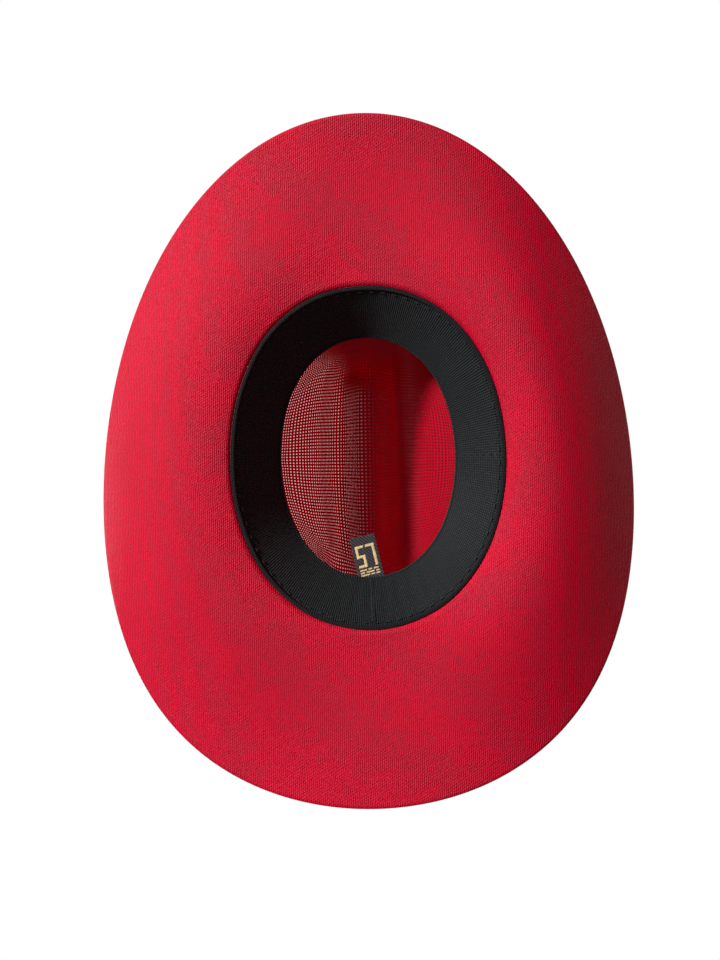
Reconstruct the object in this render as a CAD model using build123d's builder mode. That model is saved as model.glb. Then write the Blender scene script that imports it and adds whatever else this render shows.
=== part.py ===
"""A western-style fabric hat with a wide rolled brim, an open-weave creased crown,
a ribbed elastic sweatband, a size label and a ribbon hatband.

Frame: +Z towards the crown top, -Y towards the wearer's forehead, +X towards the wearer's left.
The origin is under the centre of the brim, on the surface that the hat stands on.
Lengths are millimetres, angles are degrees.
"""
from build123d import *
import math
import os

os.makedirs("parts", exist_ok=True)

# ---- Driving dimensions -------------------------------------------------------------------
BRIM_HALF_LENGTH = 200.4        # centre to the front or back edge
BRIM_HALF_WIDTH = 163.6         # half width across the brim's centre
BRIM_TAPER = (15.5, 19.5, 7.1)  # how the half width grows from front to back
HEAD_Z = 12.0                   # brim underside at the head opening, above the table
HEAD_Y = -2.0                   # head opening centre, ahead of the brim's centre
SIDE_RISE = 34.0                # how far the rolled sides stand above the head opening
SIDE_DIP = 5.5                  # shallow gutter between the head opening and the rolled side
SIDE_FADE = 2.1                 # how quickly the roll fades towards front and back
SIDE_CURL = 2.3                 # power of the roll: it is steepest at the edge
END_DROOP = 12.0                # how far the front and back edges fall below the opening
END_CURL = 1.4

PLY = 0.9                       # brim cloth
CORE = 1.1                      # brim stiffener
BOND_GAP = 0.05                 # glue line between laminated pieces

CROWN_HALF = (81.0, 101.0)      # crown wall outside, at the brim
CROWN_CLOTH = 1.0
CROWN_LEVELS = (0.0, 30.0, 50.0, 70.0, 90.0, 110.0, 130.0)
WALL_LEAN = (0.045, 0.00055)    # how the wall draws in with height
FRONT_LEAN = 17.0               # the front leans back this much more at the ridges' height
LEAN_START = 30.0               # from this height up
LEAN_CURL = 1.2
CREASE_FRONT_SCALE = 0.84       # the creased section is narrower at the front
CREASE_BACK_SCALE = 1.18
BACK_RAISE = 7.0                # and the back of the crown top is this much higher
CREASE_DEPTH = 25.0
CREASE_FRONT = (-68.0, -36.0)   # where the crease begins and is fully deep, from the head's centre
CREASE_BACK = (35.0, 95.0)      # where it starts to run out, and where it is shallowest
CREASE_BACK_SHARE = 0.35        # share of the depth that is left at the back
CREASE_FLOOR_HALF = ((0, 1.0), (6, 0.93), (11, 0.5), (16, 0.07))    # half width, share of the depth
CROWN_SHOULDER = ((20, 111), (25, 107), (29, 97), (34, 82), (44, 68), (58, 56), (77, 38), (104, 12))
RIDGE_HEIGHT = 111.0            # of the crown's two ridges, above the head opening
FULL_RAISE_HEIGHT = 80.0        # above this height the whole section takes the back's raise
RIM_GAP = 0.2                   # crown wall to brim opening

BAND_HALF = (78.6, 98.6)        # sweatband's sewn edge, on its visible face
BAND_INSET = 24.9               # how far its free edge stands in from the sewn edge
BAND_RISE = 29.7
BAND_BASE = 0.3                 # sewn edge above the brim underside
BAND_CLOTH = 0.9
OUTER_HEM_WIDTH = 2.9
HEM_SETBACK = 0.1               # hem's outer edge, in from the crown's outside
INNER_HEM_RISE = 2.7
HEM_CLOTH = 0.7
SEAM_WIDTH = 2.6                # the band's two ends are joined at the back
SEAM_CORNER = 0.5
SEAM_THICKNESS = 0.5
SEAM_ENDS = (2.4, 0.4)          # clear of the sewn edge, and of the free edge's hem
SEAM_TURN = 0.02                # how far round from the middle of the back, in radians
STITCH_COUNT = 72
STITCH = (2.6, 0.55, 0.45)      # length, width, height of one thread stitch
STITCH_LEVEL = 1.4              # sweatband's row, above the head opening
BAND_STITCH_GAP = 0.12          # between the cloth and the thread
CROWN_STITCH_GAP = 0.15

RIBBON_BASE = 3.6               # hatband's lower edge above the brim underside
RIBBON_WIDTH = 24.0
RIBBON_CLOTH = 0.8
RIBBON_GAP = 0.9                # room for the stitches and the crown cloth's relief
JOINT_STITCH_RISE = 4.4

BOW_LEVEL = RIBBON_BASE + RIBBON_WIDTH / 2
BOW_TIERS = {                   # half length, and how far each tier stands off the ribbon
    "bow_back_tier": (31.0, 0.3),
    "bow_front_tier": (23.0, 2.2),
}
BOW_CLOTH = 1.6
BOW_HEIGHT = RIBBON_WIDTH - 3.0
BOW_NOTCH = 5.0                 # depth of the V cut in each end
KNOT_WIDTH = 11.0
KNOT_HEIGHT = BOW_HEIGHT + 1.2
KNOT_SET_OFF = 4.1
KNOT_CORNER = 1.5

LABEL_SIZE = (16.0, 29.5, 0.5)
LABEL_YAW = 13.4                # the label leans to one side as it leaves the seam
LABEL_LIFT = 25.0               # and stands up a little from the sweatband's free edge
LABEL_ROOT = (1.5, 75.5, 31.4)  # hinge line, from the head opening centre
LABEL_CORNER = 0.6
PRINT = 0.15                    # raised thread of the lettering
LETTERING_GAP = 0.02

GUTTER_PEAK = 27 / 4            # makes the gutter's curve, reach * (1 - reach) ** 2, peak at 1
OVAL_SQUARENESS = 0.02          # how much fuller than an ellipse the head's oval is
EDGE_SQUARENESS = -0.01         # and the brim's edge
OUTLINE_POINTS = 24
BRIM_COLUMNS = 41
BRIM_ROWS = 13
OVERRUN = 6.0                   # a half sheet runs this many degrees past the centre line
SECTION_REACH = 130.0           # the crease sections run this far out in front and behind
SECTION_STATIONS = (-130.0, -68.0, -57.0, -47.0, -36.0, 0.0, 35.0, 55.0, 75.0, 130.0)


def oval_points(half_x, half_y, back=0.0):
    """Head-shaped oval, fuller than an ellipse at its four corners; back moves it back."""
    points = []
    for i in range(OUTLINE_POINTS):
        turn = 2 * math.pi * i / OUTLINE_POINTS
        fuller = 1 + OVAL_SQUARENESS * math.sin(2 * turn) ** 2
        points.append((half_x * math.cos(turn) * fuller, HEAD_Y + back + half_y * math.sin(turn) * fuller))
    return points


def brim_half_width(along):
    """Half width factor of the egg-shaped brim; along runs from -1 (front) to 1 (back)."""
    first, second, third = BRIM_TAPER
    return BRIM_HALF_WIDTH + first * along + second * along ** 2 + third * along ** 3


def brim_point(turn, reach):
    """Plan point of the brim: reach is 0 at the head opening and 1 at the edge."""
    opening_x = CROWN_HALF[0] + RIM_GAP
    opening_y = CROWN_HALF[1] + RIM_GAP
    half_x = opening_x + (brim_half_width(math.sin(turn)) - opening_x) * reach
    half_y = opening_y + (BRIM_HALF_LENGTH - opening_y) * reach
    squareness = OVAL_SQUARENESS + (EDGE_SQUARENESS - OVAL_SQUARENESS) * reach
    fuller = 1 + squareness * math.sin(2 * turn) ** 2
    return half_x * math.cos(turn) * fuller, HEAD_Y * (1 - reach) + half_y * math.sin(turn) * fuller


def brim_rise(turn, reach):
    """Height of the brim's underside above the head opening: the sides roll up and the ends droop."""
    side = abs(math.cos(turn)) ** SIDE_FADE
    gutter = GUTTER_PEAK * reach * (1 - reach) ** 2
    rolled = SIDE_RISE * reach ** SIDE_CURL - SIDE_DIP * gutter
    drooped = -END_DROOP * reach ** END_CURL
    return side * rolled + (1 - side) * drooped


def brim_half_sheet(lift, thickness):
    """One half of a laminated sheet, running a little past the centre line."""
    columns = []
    for i in range(BRIM_COLUMNS):
        turn = math.radians((90 + OVERRUN) * (2 * i / (BRIM_COLUMNS - 1) - 1))
        column = []
        for j in range(BRIM_ROWS):
            reach = j / (BRIM_ROWS - 1)
            x, y = brim_point(turn, reach)
            column.append(Vector(x, y, HEAD_Z + brim_rise(turn, reach) + lift))
        columns.append(column)
    surface = Face.make_surface_from_array_of_points(columns, tol=0.02)
    return Solid.extrude(surface, Vector(0, 0, thickness))


def front_lean(level):
    """How much further back the crown's front stands at a height above the opening."""
    share = max(level - LEAN_START, 0) / (RIDGE_HEIGHT - LEAN_START)
    return FRONT_LEAN * share ** LEAN_CURL


def crown_half(level):
    """Half width and half length of the crown wall's outside at a height above the opening."""
    drawn_in = WALL_LEAN[0] * level + WALL_LEAN[1] * level ** 2
    return CROWN_HALF[0] - drawn_in, CROWN_HALF[1] - drawn_in - front_lean(level) / 2


def crease_section(reach, inset):
    """Cross-section of the crown's top at a distance behind the head opening's centre: a centre
    crease between two ridges, and dented sides. inset moves the section in by the cloth."""
    back = (reach + SECTION_REACH) / (2 * SECTION_REACH)
    scale = CREASE_FRONT_SCALE + (CREASE_BACK_SCALE - CREASE_FRONT_SCALE) * back
    depth = crease_depth(reach)
    floor = [(x, RIDGE_HEIGHT - share * depth) for x, share in CREASE_FLOOR_HALF]
    points = []
    for x, z in floor + list(CROWN_SHOULDER):
        raised = z + BACK_RAISE * back * min(1, z / FULL_RAISE_HEIGHT)
        points.append((x * scale, raised + HEAD_Z))
    right = []
    for i, (x, z) in enumerate(points):
        before = points[max(i - 1, 0)]
        after = points[min(i + 1, len(points) - 1)]
        run = after[0] - before[0] if i else 1
        fall = after[1] - before[1] if i else 0
        length = math.hypot(run, fall)
        right.append((x + inset * fall / length, z - inset * run / length))
    return [(-x, z) for x, z in reversed(right[1:])] + right


def crease_depth(reach):
    """The crease is closed by a rounded brow at the front and runs out gently at the back."""
    front = min(max((reach - CREASE_FRONT[0]) / (CREASE_FRONT[1] - CREASE_FRONT[0]), 0), 1)
    back = min(max((reach - CREASE_BACK[0]) / (CREASE_BACK[1] - CREASE_BACK[0]), 0), 1)
    front_share = front * front * (3 - 2 * front)
    back_share = back * back * (3 - 2 * back)
    return CREASE_DEPTH * (front_share - (1 - CREASE_BACK_SHARE) * back_share)


# ---- Brim ---------------------------------------------------------------------------------
brim_plies = {
    "brim_under_ply": (0, PLY),
    "brim_core": (PLY + BOND_GAP, CORE),
    "brim_top_ply": (PLY + CORE + 2 * BOND_GAP, PLY),
}
for name, (lift, thickness) in brim_plies.items():
    half_sheet = brim_half_sheet(lift, thickness)
    with BuildPart() as ply:
        add(half_sheet)
        split(bisect_by=Plane.YZ, keep=Keep.TOP)
        mirror(about=Plane.YZ)
    ply.part.label = name
    export_step(ply.part, f"parts/{name}.step")

# ---- Crown --------------------------------------------------------------------------------
SECTION_BASE = HEAD_Z - 40      # the section solids reach well below the wall
CUTTER_DROP = 2                 # and the inner wall cuts a little below the crown's edge


def wall_loft(inset, drop):
    """Wall of the crown as a solid; drop carries it below the brim so that it can be a cutter."""
    with BuildPart() as wall:
        for level in CROWN_LEVELS:
            half_x, half_y = crown_half(level)
            low = drop if level == 0 else 0
            with BuildSketch(Plane.XY.offset(HEAD_Z + level - low)):
                with BuildLine():
                    Spline(*oval_points(half_x - inset, half_y - inset, front_lean(level) / 2), periodic=True)
                make_face()
        loft(ruled=True)
    return wall.part


def crease_loft(inset):
    """Everything under the creased top, from beyond the front to beyond the back."""
    with BuildPart() as under_crease:
        for reach in SECTION_STATIONS:
            section = crease_section(reach, inset)
            with BuildSketch(Plane(origin=(0, HEAD_Y + reach, 0), x_dir=(1, 0, 0), z_dir=(0, -1, 0))):
                with BuildLine():
                    Spline(*section)
                    Polyline(
                        section[-1],
                        (section[-1][0], SECTION_BASE),
                        (section[0][0], SECTION_BASE),
                        section[0],
                    )
                make_face()
        loft(ruled=True)
    return under_crease.part


with BuildPart() as head_room:
    add(wall_loft(CROWN_CLOTH, CUTTER_DROP))
    add(crease_loft(CROWN_CLOTH), mode=Mode.INTERSECT)

with BuildPart() as crown:
    add(wall_loft(0, 0))
    add(crease_loft(0), mode=Mode.INTERSECT)
    add(head_room.part, mode=Mode.SUBTRACT)
crown.part.label = "crown"
export_step(crown.part, "parts/crown.step")

# ---- Sweatband ----------------------------------------------------------------------------
BAND_TILT = math.atan2(BAND_RISE, BAND_INSET)


def oval_ring(low, high, outer_at, inner_at):
    """A ring between two heights above the opening, between two leaning oval walls.
    outer_at and inner_at give (half width, half length) at a height."""
    with BuildPart() as ring:
        for level in (low, high):
            with BuildSketch(Plane.XY.offset(HEAD_Z + level)):
                with BuildLine():
                    Spline(*oval_points(*outer_at(level)), periodic=True)
                make_face()
        loft(ruled=True)
    with BuildPart() as core:
        for level in (low, high):
            with BuildSketch(Plane.XY.offset(HEAD_Z + level)):
                with BuildLine():
                    Spline(*oval_points(*inner_at(level)), periodic=True)
                make_face()
        loft(ruled=True)
    return ring.part - core.part


def band_wall(proud):
    """The sweatband's visible face, moved towards the head by proud."""
    def at(level):
        inset = (level - BAND_BASE) * BAND_INSET / BAND_RISE + proud / math.sin(BAND_TILT)
        return BAND_HALF[0] - inset, BAND_HALF[1] - inset
    return at


def crown_wall(proud):
    """The crown's outside, moved out by proud."""
    def at(level):
        half_x, half_y = crown_half(level)
        return half_x + proud, half_y + proud
    return at


BAND_TOP = BAND_BASE + BAND_RISE
HEM_PROUD = BOND_GAP + HEM_CLOTH

with BuildPart() as sweatband:
    add(oval_ring(BAND_BASE, BAND_TOP, band_wall(-BAND_CLOTH), band_wall(0)))
sweatband.part.label = "sweatband"
export_step(sweatband.part, "parts/sweatband.step")

# The sewn edge is a flat fold that covers the crown's lower edge, seen from the head's side.
with BuildPart() as sweatband_outer_hem:
    hem_edge = crown_wall(-HEM_SETBACK)
    add(oval_ring(-BOND_GAP - HEM_CLOTH, -BOND_GAP, hem_edge, crown_wall(-HEM_SETBACK - OUTER_HEM_WIDTH)))
sweatband_outer_hem.part.label = "sweatband_outer_hem"
export_step(sweatband_outer_hem.part, "parts/sweatband_outer_hem.step")

with BuildPart() as sweatband_inner_hem:
    add(oval_ring(BAND_TOP - INNER_HEM_RISE, BAND_TOP, band_wall(BOND_GAP), band_wall(HEM_PROUD)))
sweatband_inner_hem.part.label = "sweatband_inner_hem"
export_step(sweatband_inner_hem.part, "parts/sweatband_inner_hem.step")


def band_face_point(turn, level, proud):
    """Point on the sweatband's visible face, and the outward direction of the oval there."""
    half_x, half_y = band_wall(proud)(level)
    fuller = 1 + OVAL_SQUARENESS * math.sin(2 * turn) ** 2
    x = half_x * math.cos(turn) * fuller
    y = HEAD_Y + half_y * math.sin(turn) * fuller
    outward = Vector(math.cos(turn) / half_x, math.sin(turn) / half_y, 0).normalized()
    return Vector(x, y, HEAD_Z + level), outward


def face_plane(turn, level, proud):
    """Plane lying on the sweatband's visible face: x along the band, z towards the head."""
    point, outward = band_face_point(turn, level, proud)
    along = Vector(-outward.Y, outward.X, 0)
    towards_head = outward * -math.sin(BAND_TILT) + Vector(0, 0, -math.cos(BAND_TILT))
    return Plane(origin=point, x_dir=along, z_dir=towards_head)


SEAM_LEVELS = (BAND_BASE + SEAM_ENDS[0], BAND_TOP - INNER_HEM_RISE - SEAM_ENDS[1])
SEAM_LENGTH = (SEAM_LEVELS[1] - SEAM_LEVELS[0]) / math.sin(BAND_TILT)

with BuildPart() as sweatband_back_seam:
    with BuildSketch(face_plane(math.pi / 2 - SEAM_TURN, sum(SEAM_LEVELS) / 2, BOND_GAP * 2)):
        RectangleRounded(SEAM_WIDTH, SEAM_LENGTH, SEAM_CORNER)
    extrude(amount=SEAM_THICKNESS)
sweatband_back_seam.part.label = "sweatband_back_seam"
export_step(sweatband_back_seam.part, "parts/sweatband_back_seam.step")

with BuildPart() as sweatband_stitching:
    for i in range(STITCH_COUNT):
        turn = 2 * math.pi * (i + 0.5) / STITCH_COUNT
        with BuildSketch(face_plane(turn, STITCH_LEVEL, BAND_STITCH_GAP)):
            SlotOverall(STITCH[0], STITCH[1])
        extrude(amount=STITCH[2])
sweatband_stitching.part.label = "sweatband_stitching"
export_step(sweatband_stitching.part, "parts/sweatband_stitching.step")

# ---- Size label ---------------------------------------------------------------------------
LABEL_WIDTH, LABEL_LENGTH, LABEL_CLOTH = LABEL_SIZE
yaw = math.radians(LABEL_YAW)
lift = math.radians(LABEL_LIFT)
label_across = Vector(math.cos(yaw), -math.sin(yaw), 0)
label_along = Vector(-math.sin(yaw) * math.cos(lift), -math.cos(yaw) * math.cos(lift), math.sin(lift))
label_root = Vector(LABEL_ROOT[0], HEAD_Y + LABEL_ROOT[1], HEAD_Z + LABEL_ROOT[2])
label_plane = Plane(origin=label_root, x_dir=label_across, z_dir=label_across.cross(label_along))

with BuildPart() as size_label:
    with BuildSketch(label_plane):
        with Locations((0, LABEL_LENGTH / 2)):
            Rectangle(LABEL_WIDTH, LABEL_LENGTH)
    extrude(amount=-LABEL_CLOTH)
    fillet(size_label.edges().filter_by(Axis(label_root, label_plane.z_dir)), LABEL_CORNER)
size_label.part.label = "size_label"
export_step(size_label.part, "parts/size_label.step")

DIGIT = (5.6, 14.6)             # width and height of a woven numeral
DIGIT_STROKE = 1.8
DIGIT_PITCH = 6.7
DIGIT_CENTRE = 16.2             # from the sewn edge
DIGIT_BARS = {                  # strokes of each numeral, as in a seven-bar display
    "5": ("top", "upper left", "middle", "lower right", "bottom"),
    "7": ("top", "upper right", "lower right"),
}
SIZE_NUMBER = "57"              # centimetres round the head
BAR_ROWS = (7.2, 5.5, 3.8)
BAR_HEIGHT = 1.0
BAR_LENGTHS = ((4.6, 2.6, 3.4), (3.0, 5.4, 2.2), (5.8, 2.4, 2.6))
BAR_SPACE = 0.8

digit_side = (DIGIT[0] - DIGIT_STROKE) / 2
digit_step = (DIGIT[1] - DIGIT_STROKE) / 2
upright = (DIGIT_STROKE, digit_step + DIGIT_STROKE)
crossbar = (DIGIT[0], DIGIT_STROKE)
STROKES = {                     # centre and size of each bar
    "top": (0, digit_step, crossbar),
    "middle": (0, 0, crossbar),
    "bottom": (0, -digit_step, crossbar),
    "upper left": (-digit_side, digit_step / 2, upright),
    "upper right": (digit_side, digit_step / 2, upright),
    "lower right": (digit_side, -digit_step / 2, upright),
}

with BuildPart() as size_label_lettering:
    with BuildSketch(label_plane.offset(LETTERING_GAP)):
        for place, numeral in enumerate(SIZE_NUMBER):
            centre = (place - (len(SIZE_NUMBER) - 1) / 2) * DIGIT_PITCH
            for bar in DIGIT_BARS[numeral]:
                x, y, size = STROKES[bar]
                with Locations((centre + x, DIGIT_CENTRE + y)):
                    Rectangle(*size)
        for row, lengths in zip(BAR_ROWS, BAR_LENGTHS):
            start = -(sum(lengths) + BAR_SPACE * (len(lengths) - 1)) / 2
            for length in lengths:
                with Locations((start + length / 2, row)):
                    Rectangle(length, BAR_HEIGHT)
                start += length + BAR_SPACE
    extrude(amount=PRINT)
size_label_lettering.part.label = "size_label_lettering"
export_step(size_label_lettering.part, "parts/size_label_lettering.step")

# ---- Hatband ------------------------------------------------------------------------------
RIBBON_TOP = RIBBON_BASE + RIBBON_WIDTH
RIBBON_OUTSIDE = RIBBON_GAP + RIBBON_CLOTH

with BuildPart() as hatband:
    add(oval_ring(RIBBON_BASE, RIBBON_TOP, crown_wall(RIBBON_OUTSIDE), crown_wall(RIBBON_GAP)))
hatband.part.label = "hatband"
export_step(hatband.part, "parts/hatband.step")


def crown_plane(turn, level, proud):
    """Plane standing on the crown wall: x along the wall, z outwards, y up."""
    half_x, half_y = crown_wall(proud)(level)
    fuller = 1 + OVAL_SQUARENESS * math.sin(2 * turn) ** 2
    x = half_x * math.cos(turn) * fuller
    y = HEAD_Y + half_y * math.sin(turn) * fuller
    outward = Vector(math.cos(turn) / half_x, math.sin(turn) / half_y, 0).normalized()
    along = Vector(-outward.Y, outward.X, 0)
    return Plane(origin=(x, y, HEAD_Z + level), x_dir=along, z_dir=outward)


with BuildPart() as crown_joint_stitching:
    for i in range(STITCH_COUNT):
        turn = 2 * math.pi * (i + 0.5) / STITCH_COUNT
        with BuildSketch(crown_plane(turn, JOINT_STITCH_RISE, CROWN_STITCH_GAP)):
            SlotOverall(STITCH[0], STITCH[1])
        extrude(amount=STITCH[2])
crown_joint_stitching.part.label = "crown_joint_stitching"
export_step(crown_joint_stitching.part, "parts/crown_joint_stitching.step")

# A flat bow lies on the wearer's left: two tiers of ribbon and a knot across their middle.
BOW_CUT = 40.0                  # the bow's outline is cut through this depth, from inside the wall
CUT_START = CROWN_HALF[0] - 10
LAYER_SPARE = 1.0               # the layers are cut from rings a little higher than the bow
bow_side = Plane(origin=(CUT_START, HEAD_Y, HEAD_Z + BOW_LEVEL), x_dir=(0, 1, 0), z_dir=(1, 0, 0))


def bow_layer(height, set_off):
    """A layer that follows the crown wall all round, as high as the bow."""
    low = BOW_LEVEL - height / 2 - LAYER_SPARE
    high = BOW_LEVEL + height / 2 + LAYER_SPARE
    inside = RIBBON_OUTSIDE + set_off
    return oval_ring(low, high, crown_wall(inside + BOW_CLOTH), crown_wall(inside))


for name, (half_span, set_off) in BOW_TIERS.items():
    layer = bow_layer(BOW_HEIGHT, set_off)
    with BuildPart() as tier:
        add(layer)
        with BuildSketch(bow_side):
            with BuildLine():
                Polyline(
                    (-half_span, BOW_HEIGHT / 2),
                    (half_span, BOW_HEIGHT / 2),
                    (half_span - BOW_NOTCH, 0),
                    (half_span, -BOW_HEIGHT / 2),
                    (-half_span, -BOW_HEIGHT / 2),
                    (-half_span + BOW_NOTCH, 0),
                    close=True,
                )
            make_face()
        extrude(amount=BOW_CUT, mode=Mode.INTERSECT)
    tier.part.label = name
    export_step(tier.part, f"parts/{name}.step")

knot_layer = bow_layer(KNOT_HEIGHT, KNOT_SET_OFF)
with BuildPart() as bow_knot:
    add(knot_layer)
    with BuildSketch(bow_side):
        RectangleRounded(KNOT_WIDTH, KNOT_HEIGHT, KNOT_CORNER)
    extrude(amount=BOW_CUT, mode=Mode.INTERSECT)
bow_knot.part.label = "bow_knot"
export_step(bow_knot.part, "parts/bow_knot.step")
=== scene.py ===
"""Looks of a western-style fabric hat: rolled red brim, open-weave creased crown, ribbed elastic
sweatband, woven size label and a ribbon hatband with a flat bow.

Metres, in the part's frame: +Z to the crown top, -Y to the wearer's forehead. Shape formulas are
worked in millimetres, as the part's own dimensions are, and scaled by MM.
"""
import math
import bpy
import numpy as np
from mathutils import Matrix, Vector


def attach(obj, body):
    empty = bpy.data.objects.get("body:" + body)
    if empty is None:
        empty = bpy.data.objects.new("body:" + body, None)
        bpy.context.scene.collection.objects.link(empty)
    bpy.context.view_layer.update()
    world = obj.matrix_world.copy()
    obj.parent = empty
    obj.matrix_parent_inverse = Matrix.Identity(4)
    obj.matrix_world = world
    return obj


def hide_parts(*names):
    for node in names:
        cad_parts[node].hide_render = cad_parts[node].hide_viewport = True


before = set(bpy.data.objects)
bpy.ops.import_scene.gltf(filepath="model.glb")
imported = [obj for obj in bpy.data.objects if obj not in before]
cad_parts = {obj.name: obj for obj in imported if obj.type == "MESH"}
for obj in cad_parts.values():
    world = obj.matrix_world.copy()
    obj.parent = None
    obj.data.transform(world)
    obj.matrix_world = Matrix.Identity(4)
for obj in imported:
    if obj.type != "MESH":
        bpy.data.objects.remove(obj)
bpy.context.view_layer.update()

MM = 0.001

# ---- Driving dimensions (millimetres) -------------------------------------------------------
BRIM_HALF_LENGTH = 200.4
BRIM_HALF_WIDTH = 163.6
BRIM_TAPER = (15.5, 19.5, 7.1)
HEAD_Z = 12.0
HEAD_Y = -2.0
SIDE_RISE = 34.0
SIDE_DIP = 5.5
SIDE_FADE = 2.1
SIDE_CURL = 2.5
END_DROOP = 12.0
END_CURL = 1.4
GUTTER_PEAK = 27 / 4
GUTTER_UNEVEN = 0.45
GUTTER_END_POWER = 6
PLY = 0.9
CORE = 1.1

CROWN_HALF = (81.0, 101.0)
WALL_LEAN = (0.045, 0.00055)
FRONT_LEAN = 17.0
LEAN_START = 30.0
LEAN_CURL = 1.2
RIDGE_HEIGHT = 111.0
CREASE_FRONT_SCALE = 0.84
CREASE_BACK_SCALE = 1.18
BACK_RAISE = 7.0
BACK_RAISE_FROM = 80.0
CREASE_DEPTH = 25.0
CREASE_FRONT = (-68.0, -36.0)
CREASE_BACK = (35.0, 95.0)
CREASE_BACK_SHARE = 0.35
SECTION_REACH = 130.0
EDGE_ROUND = 16.0
RIM_GAP = 0.2

BAND_HALF = (78.6, 98.6)
BAND_INSET = 24.9
BAND_RISE = 29.7
BAND_BASE = 0.3
BAND_CLOTH = 0.9

RIBBON_BASE = 3.6
RIBBON_WIDTH = 24.0
RIBBON_CLOTH = 0.8
RIBBON_GAP = 0.9
BOW_CLOTH = 1.6
BOW_HEIGHT = RIBBON_WIDTH - 3.0
BOW_NOTCH = 5.0

LABEL_SIZE = (16.0, 29.5, 0.5)
LABEL_YAW = 13.4
LABEL_LIFT = 25.0
LABEL_ROOT = (1.5, 75.5, 31.4)

OVAL_SQUARENESS = 0.02
EDGE_SQUARENESS = -0.01
SELVEDGE_SHARE = 0.1

# ---- Mesh helpers ---------------------------------------------------------------------------


def add_mesh(name, points, faces, uvs=None, smooth=True):
    """Object from points in millimetres and faces of any size; uvs has one pair for each point."""
    mesh = bpy.data.meshes.new(name)
    mesh.from_pydata((np.asarray(points) * MM).tolist(), [], faces)
    if uvs is not None:
        layer = mesh.uv_layers.new(name="cloth")
        corner_points = np.empty(len(mesh.loops), dtype=np.int64)
        mesh.loops.foreach_get("vertex_index", corner_points)
        layer.data.foreach_set("uv", np.asarray(uvs, dtype=np.float32)[corner_points].ravel())
    mesh.validate()
    mesh.polygons.foreach_set("use_smooth", [smooth] * len(mesh.polygons))
    mesh.update()
    piece = bpy.data.objects.new(name, mesh)
    bpy.context.collection.objects.link(piece)
    return piece


def grid_faces(rows, columns, wrap, start=0, flip=False):
    """Quads over a grid of points stored row by row; wrap joins the last column to the first."""
    spans = columns if wrap else columns - 1
    i, j = np.meshgrid(np.arange(rows - 1), np.arange(spans), indexing="ij")
    low, high = i * columns, (i + 1) * columns
    after = (j + 1) % columns
    quads = np.stack([low + j, low + after, high + after, high + j], -1).reshape(-1, 4) + start
    return (quads[:, ::-1] if flip else quads).tolist()


def shell(name, front, back, uvs, wrap=False):
    """Closed solid between two grids of points; wrap joins the last column to the first."""
    rows, columns = front.shape[:2]
    count = rows * columns
    faces = grid_faces(rows, columns, wrap) + grid_faces(rows, columns, wrap, count, True)
    low = count - columns
    for column in range(columns if wrap else columns - 1):
        after = (column + 1) % columns
        faces.append([after, column, count + column, count + after])
        faces.append([low + column, low + after, count + low + after, count + low + column])
    for left in [] if wrap else range(0, low, columns):
        right = left + columns - 1
        faces.append([left, left + columns, count + left + columns, count + left])
        faces.append([right + columns, right, count + right, count + right + columns])
    points = np.concatenate([front.reshape(-1, 3), back.reshape(-1, 3)])
    both = np.concatenate([uvs.reshape(-1, 2), uvs.reshape(-1, 2)])
    return add_mesh(name, points, faces, both)


def turns_round(count):
    """Equal turns once round the hat, from +X towards the back."""
    return np.linspace(0, 2 * math.pi, count, endpoint=False)


def selvedge(across):
    """Rises from 0 to 1 near the two edges of a cloth, where across is 0 and 1."""
    from_middle = np.abs(2 * across - 1)
    return np.clip((from_middle - (1 - SELVEDGE_SHARE)) / SELVEDGE_SHARE, 0, 1) ** 2


# ---- Shape formulas (millimetres) -----------------------------------------------------------


def fullness(turn, squareness=OVAL_SQUARENESS):
    return 1 + squareness * np.sin(2 * turn) ** 2


def oval(turn, half_x, half_y, level):
    """Points on a head-shaped oval at a height above the head opening."""
    x = half_x * np.cos(turn) * fullness(turn)
    y = HEAD_Y + half_y * np.sin(turn) * fullness(turn)
    return np.stack([x, y, HEAD_Z + level + 0 * x], -1)


def brim_half_width(along):
    first, second, third = BRIM_TAPER
    return BRIM_HALF_WIDTH + first * along + second * along ** 2 + third * along ** 3


def brim_underside(turn, reach):
    """Underside of the brim; reach is 0 at the head opening and 1 at the edge."""
    opening_x = CROWN_HALF[0] + RIM_GAP
    opening_y = CROWN_HALF[1] + RIM_GAP
    half_x = opening_x + (brim_half_width(np.sin(turn)) - opening_x) * reach
    half_y = opening_y + (BRIM_HALF_LENGTH - opening_y) * reach
    full = fullness(turn, OVAL_SQUARENESS + (EDGE_SQUARENESS - OVAL_SQUARENESS) * reach)
    x = half_x * np.cos(turn) * full
    y = HEAD_Y * (1 - reach) + half_y * np.sin(turn) * full
    side = np.abs(np.cos(turn)) ** SIDE_FADE
    uneven = 1 + GUTTER_UNEVEN * np.cos(turn)
    ends = 1 - np.sin(turn) ** GUTTER_END_POWER
    dip = SIDE_DIP * GUTTER_PEAK * reach * (1 - reach) ** 2 * ends * uneven
    rolled = SIDE_RISE * reach ** SIDE_CURL
    drooped = -END_DROOP * reach ** END_CURL
    return np.stack([x, y, HEAD_Z + side * rolled + (1 - side) * drooped - dip], -1)


def front_lean(level):
    """How much further back the crown's front stands at a height above the opening."""
    share = np.maximum(level - LEAN_START, 0) / (RIDGE_HEIGHT - LEAN_START)
    return FRONT_LEAN * share ** LEAN_CURL


def crown_half(level):
    drawn_in = WALL_LEAN[0] * level + WALL_LEAN[1] * level ** 2
    return CROWN_HALF[0] - drawn_in, CROWN_HALF[1] - drawn_in - front_lean(level) / 2


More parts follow.
